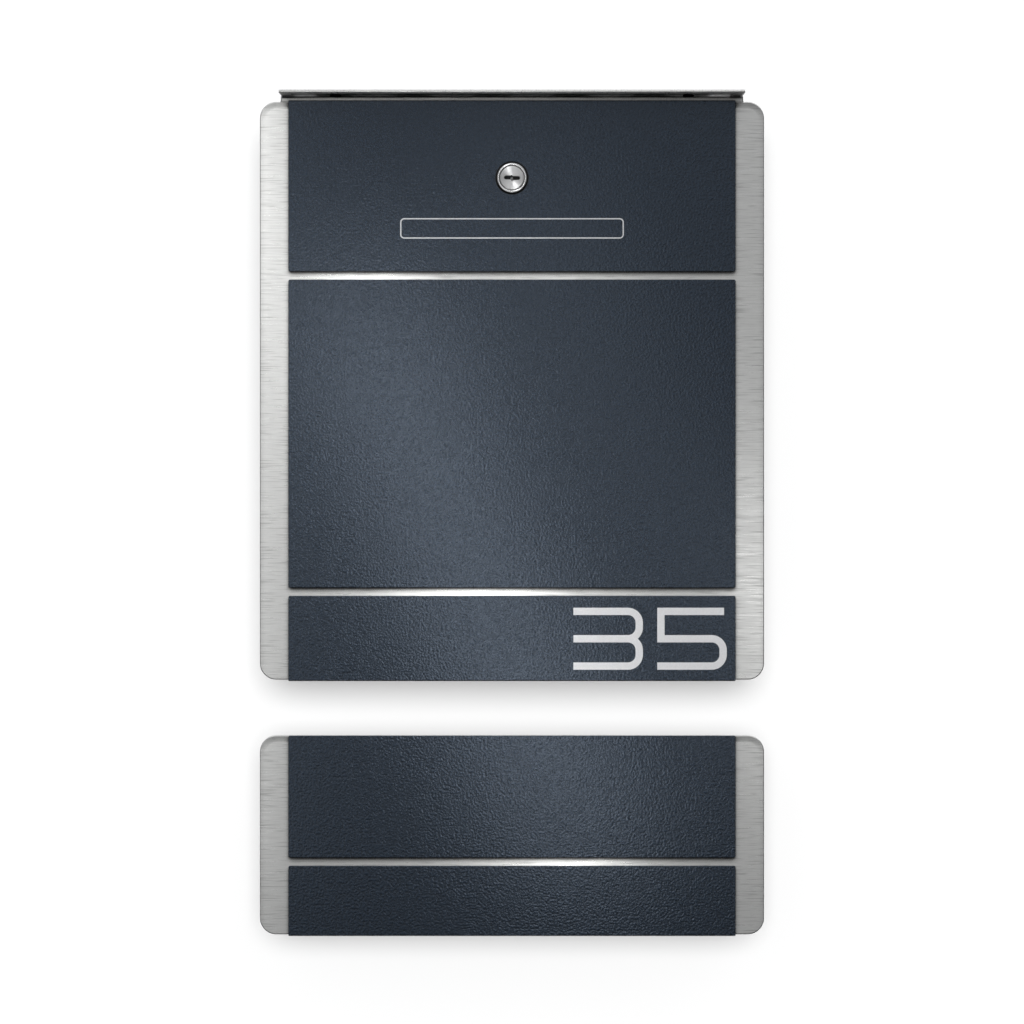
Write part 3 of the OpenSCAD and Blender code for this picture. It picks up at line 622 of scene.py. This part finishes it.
def build_lock_plug():
    """The turned disc with its waved keyway, on the round plug and its square tail."""
    low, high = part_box("lock_plug")
    front = Vector((LOCK.x, low.y, LOCK.z))
    length = (high.y - low.y) / MM
    cam_front = (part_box("lock_cam")[0].y - low.y) / MM
    face = [(0, 0.3), (1.5, 0.29), (4.0, 0.2), (7.4, 0.05)] + arc((DISC_R - 0.35, 0.37), 0.35, 270, 360, 6)
    body = [(DISC_R, 1.75), (6.5, 1.75), (6.5, cam_front - 0.3), (6.2, cam_front), (0, cam_front)]
    disc = add_object("plug_disc", turn(bmesh.new(), face + body, front, 120), MATERIALS["turned"])
    for x_from, x_to, z, depth in ((-KEY_HALF, 0.9, 0.2, 7), (-0.9, KEY_HALF, -0.2, 7.1)):
        keyway = bmesh.new()
        slab(keyway, round_bar(x_from, x_to, z, KEY_SLOT_HALF), front, -1, depth)
        disc = add_object("plug_disc", cut(disc, keyway), MATERIALS["turned"])
    for z in (1.55, -1.5):
        notch = bmesh.new()
        slab(notch, arc((-0.3, z), 0.55, 0, 330, 11), front, -1, 6.5 + 0.1 * z)
        disc = add_object("plug_disc", cut(disc, notch), MATERIALS["turned"])
    dimple = bmesh.new()
    bmesh.ops.create_uvsphere(dimple, u_segments=24, v_segments=16, radius=1.7 * MM,
                              matrix=Matrix.Translation(front + MM * Vector((0.9, -1.2, -2.05))))
    shape = cut(disc, dimple)
    # faces inside the keyway and notches take the near-black painted shade
    for face in shape.faces:
        away = (face.calc_center_median() - front) / MM
        face.material_index = int(0.5 < away.y < 8 and math.hypot(away.x, away.z) < KEY_HALF + 0.2)
    slab(shape, round_square(3.5, 0.3), front, cam_front - 0.02, length)
    turn(shape, [(0, 0.75), (0.45, 0.7), (0.8, 0.45), (0.95, 0.6), (0.95, 6), (0, 6)],
         front + MM * Vector((-0.2, 0, -0.35)), 24)
    bmesh.ops.recalc_face_normals(shape, faces=shape.faces)
    plug = add_object("lock_disc", shape, MATERIALS["turned"], 32)
    plug.data.materials.append(MATERIALS["keyway"])
    attach(plug, "lock_plug")


def round_square(half, r):
    corners = ((1, 1, 0), (-1, 1, 90), (-1, -1, 180), (1, -1, 270))
    return [spot for sx, sz, start in corners
            for spot in arc((sx * (half - r), sz * (half - r)), r, start, start + 90, 4)]


build_lock_housing()
build_lock_plug()
for studs in ("door_studs", "news_studs"):
    threaded_studs(studs)


# ---- Stage --------------------------------------------------------------------------

WALL_GAP = 0.0004


def wall_material():
    """White to the camera from its front, and clear to everything else."""
    material = bpy.data.materials.new("wall_white")
    material.use_nodes = True
    tree = material.node_tree
    tree.nodes.clear()
    matt = tree.nodes.new("ShaderNodeBsdfDiffuse")
    matt.inputs["Color"].default_value = (0.25, 0.25, 0.25, 1)
    glow = tree.nodes.new("ShaderNodeEmission")
    glow.inputs["Strength"].default_value = 0.28
    paint = tree.nodes.new("ShaderNodeAddShader")
    tree.links.new(matt.outputs[0], paint.inputs[0])
    tree.links.new(glow.outputs[0], paint.inputs[1])
    clear = tree.nodes.new("ShaderNodeBsdfTransparent")
    ray = tree.nodes.new("ShaderNodeLightPath")
    side = tree.nodes.new("ShaderNodeNewGeometry")
    front = tree.nodes.new("ShaderNodeMath")
    front.operation = "SUBTRACT"
    tree.links.new(ray.outputs["Is Camera Ray"], front.inputs[0])
    tree.links.new(side.outputs["Backfacing"], front.inputs[1])
    mix = tree.nodes.new("ShaderNodeMixShader")
    out = tree.nodes.new("ShaderNodeOutputMaterial")
    tree.links.new(front.outputs[0], mix.inputs[0])
    tree.links.new(clear.outputs[0], mix.inputs[1])
    tree.links.new(paint.outputs[0], mix.inputs[2])
    tree.links.new(mix.outputs[0], out.inputs[0])
    return material


def plane(name, corners, material):
    mesh = bpy.data.meshes.new(name)
    mesh.from_pydata(corners, [], [(0, 1, 2, 3)])
    mesh.materials.append(material)
    obj = bpy.data.objects.new(name, mesh)
    bpy.context.scene.collection.objects.link(obj)
    return obj


def build_stage():
    half = 4.0
    plane("wall", [(-half, WALL_GAP, -half), (half, WALL_GAP, -half), (half, WALL_GAP, half),
                   (-half, WALL_GAP, half)], wall_material())


build_stage()


# ---- Light --------------------------------------------------------------------------

def add_light(name, kind, energy, location, aim, **settings):
    data = bpy.data.lights.new(name, kind)
    data.energy = energy
    for key, value in settings.items():
        setattr(data, key, value)
    obj = bpy.data.objects.new(name, data)
    obj.location = location
    obj.rotation_euler = (Vector(aim) - Vector(location)).to_track_quat("-Z", "Y").to_euler()
    obj.visible_camera = False
    bpy.context.scene.collection.objects.link(obj)
    return obj


STRIP_DISTANCE = 0.4
STRIP_LEAN = math.atan(0.43)
STRIP_CLEAR = 5 * MM  # lamps in one plane would take each other's light


def reflected_in_front(x, z, front_y):
    """Where a lamp STRIP_DISTANCE before the fronts stands to show at (x, z) on them."""
    k = 1 + STRIP_DISTANCE / (VIEW_DISTANCE + front_y)
    return (x * k, front_y - STRIP_DISTANCE, VIEW_HEIGHT + (z - VIEW_HEIGHT) * k)


def add_strip(name, x, z, width, length, energy, lean=STRIP_LEAN):
    """A long soft box whose reflection crosses the fronts, leaning with its top to the left."""
    front_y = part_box("door_plate")[0].y
    spot = reflected_in_front(x, z, front_y)
    strip = add_light(name, "AREA", energy, spot, (spot[0], 0, spot[2]), shape="RECTANGLE", size=width,
                      size_y=length)
    strip.rotation_euler = (Matrix.Rotation(-lean, 3, "Y") @ strip.rotation_euler.to_matrix()).to_euler()
    return strip


def only_lights(lamp, *objects):
    """Keeps a lamp's light to these objects; everything still casts its shadow on them."""
    group = bpy.data.collections.new(lamp.name + "_lights")
    for obj in objects:
        group.objects.link(obj)
    lamp.light_linking.receiver_collection = group


WORLD_STRENGTH = 0.66
BACKDROP_STRENGTH = 0.7  # what shows behind the object from the sides and the back


def build_world():
    """An even pale studio that falls off to the sides, to the floor, and to a dark flag low on the right."""
    world = bpy.data.worlds.new("pale_studio")
    bpy.context.scene.world = world
    world.use_nodes = True
    tree = world.node_tree
    place = tree.nodes.new("ShaderNodeTexCoord")
    split = tree.nodes.new("ShaderNodeSeparateXYZ")
    tree.links.new(place.outputs["Generated"], split.inputs[0])

    def math_node(operation, *inputs):
        made = tree.nodes.new("ShaderNodeMath")
        made.operation = operation
        for socket, source in zip(made.inputs, inputs):
            tree.links.new(source, socket)
        return made

    sides = math_node("ABSOLUTE", split.outputs["X"])
    flag = math_node("SUBTRACT", split.outputs["X"], split.outputs["Z"])
    strength = None
    falls = ((sides.outputs[0], 0.6, 1.0, 1.0, 0.42), (split.outputs["Z"], -0.35, 0.05, 0.2, 1.0),
             (flag.outputs[0], 0.08, 0.3, 1.0, 0.5))
    for source, start, end, low, high in falls:
        fall = tree.nodes.new("ShaderNodeMapRange")
        tree.links.new(source, fall.inputs["Value"])
        for key, value in (("From Min", start), ("From Max", end), ("To Min", low), ("To Max", high)):
            fall.inputs[key].default_value = value
        product = math_node("MULTIPLY", fall.outputs[0])
        product.inputs[1].default_value = WORLD_STRENGTH
        if strength is not None:
            tree.links.new(strength, product.inputs[1])
        strength = product.outputs[0]
    ray = tree.nodes.new("ShaderNodeLightPath")
    seen = tree.nodes.new("ShaderNodeMix")
    tree.links.new(ray.outputs["Is Camera Ray"], seen.inputs[0])
    tree.links.new(strength, seen.inputs[2])
    seen.inputs[3].default_value = BACKDROP_STRENGTH
    tree.nodes["Background"].inputs["Color"].default_value = (0.97, 0.98, 1.0, 1)
    tree.links.new(seen.outputs[0], tree.nodes["Background"].inputs["Strength"])


def build_lights():
    build_world()
    key = add_light("wall_key", "SUN", 8.0, (0.03, -3, 0.34), (0, 0, 0), angle=0.36)
    only_lights(key, bpy.data.objects["wall"])
    add_strip("main_strip", -0.032, -0.13, 0.05, 0.55, 0.48)
    add_strip("second_strip", 0.05, 0.035, 0.04, 0.36, 0.07)
    add_strip("right_strip", 0.205, -0.19, 0.06, 0.26, 0.08)
    add_strip("left_strip", -0.23, -0.05, 0.1, 0.75, 0.2, lean=0)
    plates = [bpy.data.objects[name] for name in ("door_plate_finish", "news_plate_finish")]
    for steel_strip in (add_strip("left_steel_strip", -0.23, 0.22, 0.1, 0.36, 0.15, lean=0),
                        add_strip("main_steel_strip", -0.032, -0.13, 0.05, 0.55, 0.15)):
        steel_strip.location.y += STRIP_CLEAR
        only_lights(steel_strip, *plates)
    lock_strip = add_strip("lock_strip", LOCK.x, LOCK.z, 0.025, 0.5, 0.58)
    only_lights(lock_strip, bpy.data.objects["lock_head"], bpy.data.objects["lock_disc"])
    add_light("top_box", "AREA", 6, (0.4, -1.2, 1.7), (0, 0, 0), shape="RECTANGLE", size=1.6, size_y=1.0)
    add_light("rear_fill", "AREA", 8, (0.6, 2.2, 0.9), (0, 0, 0), shape="RECTANGLE", size=1.6, size_y=1.2)


build_lights()
bpy.context.scene.view_settings.view_transform = "Standard"
